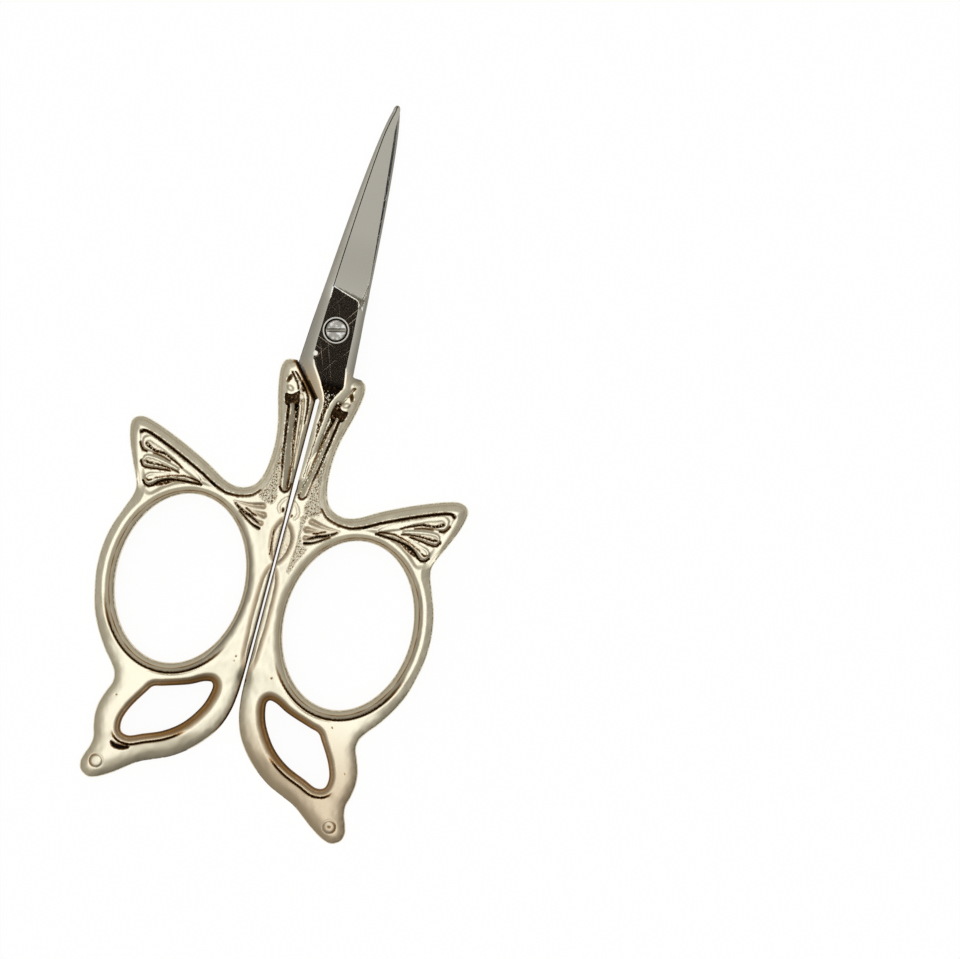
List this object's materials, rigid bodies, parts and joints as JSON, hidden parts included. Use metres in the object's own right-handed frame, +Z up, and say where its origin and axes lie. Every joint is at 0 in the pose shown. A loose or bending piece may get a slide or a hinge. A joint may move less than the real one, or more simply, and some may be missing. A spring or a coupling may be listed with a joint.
{
  "type": "embroidery scissors",
  "caption": "Small needlework scissors with straight pointed blades and pale gold butterfly-wing handles, crossed on a slotted pivot screw.",
  "frame": {"origin": "on the pivot axis, in the plane that the closed scissors lie on", "axes": "+Y along the blades to the points, +X to the right handle seen from the screw-head side, +Z up through the screw head"},
  "size_m": [0.0546, 0.1141, 0.004],
  "materials": {
    "plated_steel": "pale gold plate on the cast handles, fading to polished bare steel on shank and blade",
    "screw_steel": "turned and polished steel"
  },
  "bodies": {
    "back": {"back_half": "plated_steel", "pivot_screw": "screw_steel"},
    "front": {"front_half": "plated_steel"}
  },
  "joints": [
    {"name": "pivot", "type": "hinge", "parent": "back", "child": "front", "pos_m": [0, 0, 0], "axis": [0, 0, 1], "range_deg": [0, 110]}
  ]
}
